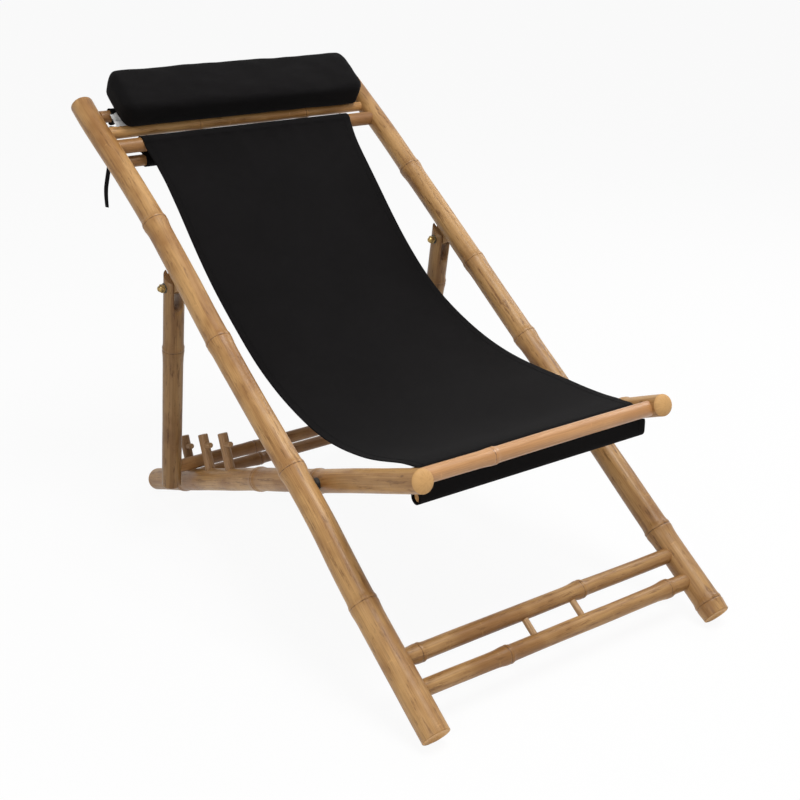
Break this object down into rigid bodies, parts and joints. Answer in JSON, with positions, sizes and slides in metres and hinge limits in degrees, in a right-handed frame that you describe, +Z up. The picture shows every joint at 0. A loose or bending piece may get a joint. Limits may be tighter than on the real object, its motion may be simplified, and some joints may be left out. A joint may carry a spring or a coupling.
{
  "type": "bamboo folding recliner",
  "caption": "Folding deck recliner of bamboo culms with a hanging canvas sling, a tied head pillow, an adjustable prop on notched pegs and a crossbar footrest.",
  "frame": {"origin": "on the floor, under the middle of the bounding box of the opened chair", "axes": "+X across the chair, +Y to its rear, +Z up; the feet are at -Y and the head end at +Y"},
  "size_m": [0.6087, 1.0736, 0.7908],
  "materials": {
    "bamboo": "glossy natural culm skin",
    "thin_bamboo": "natural culm skin",
    "dark_bamboo": "darker culm skin",
    "turned_wood": "turned hardwood",
    "steel": "dull",
    "brass": "polished",
    "canvas": "matt plain weave",
    "pillow_cover": "matt plain weave, stuffed",
    "tape": "woven tape",
    "label_cloth": "thin printed-label cloth, left blank"
  },
  "bodies": {
    "seat_frame": {"seat_rail_left": "bamboo", "seat_rail_right": "bamboo", "seat_bar": "bamboo", "seat_inner_bar": "dark_bamboo", "seat_rear_bar": "dark_bamboo", "recline_pegs_left": "turned_wood", "recline_pegs_right": "turned_wood", "peg_hooks_left": "turned_wood", "peg_hooks_right": "turned_wood", "sling_bottom_rod": "thin_bamboo"},
    "back_frame": {"back_pole_left": "bamboo", "back_pole_right": "bamboo", "foot_bar_lower": "bamboo", "foot_bar_upper": "bamboo", "foot_bar_spindles": "turned_wood", "head_bar": "thin_bamboo", "sling_front_rod": "thin_bamboo", "sling_slat": "bamboo", "prop_tongue_left": "turned_wood", "prop_tongue_right": "turned_wood", "hinge_bolts": "steel", "hinge_spacers": "steel", "hinge_washers": "steel", "hinge_cap_nuts": "brass", "sling": "canvas", "sling_top_rod": "thin_bamboo", "head_pillow": "pillow_cover", "pillow_tie_left": "tape", "pillow_tie_right": "tape", "pillow_care_label": "label_cloth", "pillow_tie_tail": "tape"},
    "prop": {"prop_leg_left": "bamboo", "prop_leg_right": "bamboo", "prop_bar": "dark_bamboo", "prop_bolts": "steel", "prop_cap_nuts": "brass", "prop_washers": "steel"}
  },
  "joints": [
    {"name": "back_fold", "type": "hinge", "parent": "seat_frame", "child": "back_frame", "pos_m": [0.00359, -0.17539, 0.25574], "axis": [1, 0, 0], "range_deg": [0, 118], "deforming": ["sling"]},
    {"name": "prop_swing", "type": "hinge", "parent": "back_frame", "child": "prop", "pos_m": [0.00359, 0.21602, 0.47562], "axis": [1, 0, 0], "range_deg": [-48.4, 0]}
  ],
  "couplings": [
    {"joint": "prop_swing", "follows": "back_fold", "ratio": -0.41}
  ]
}
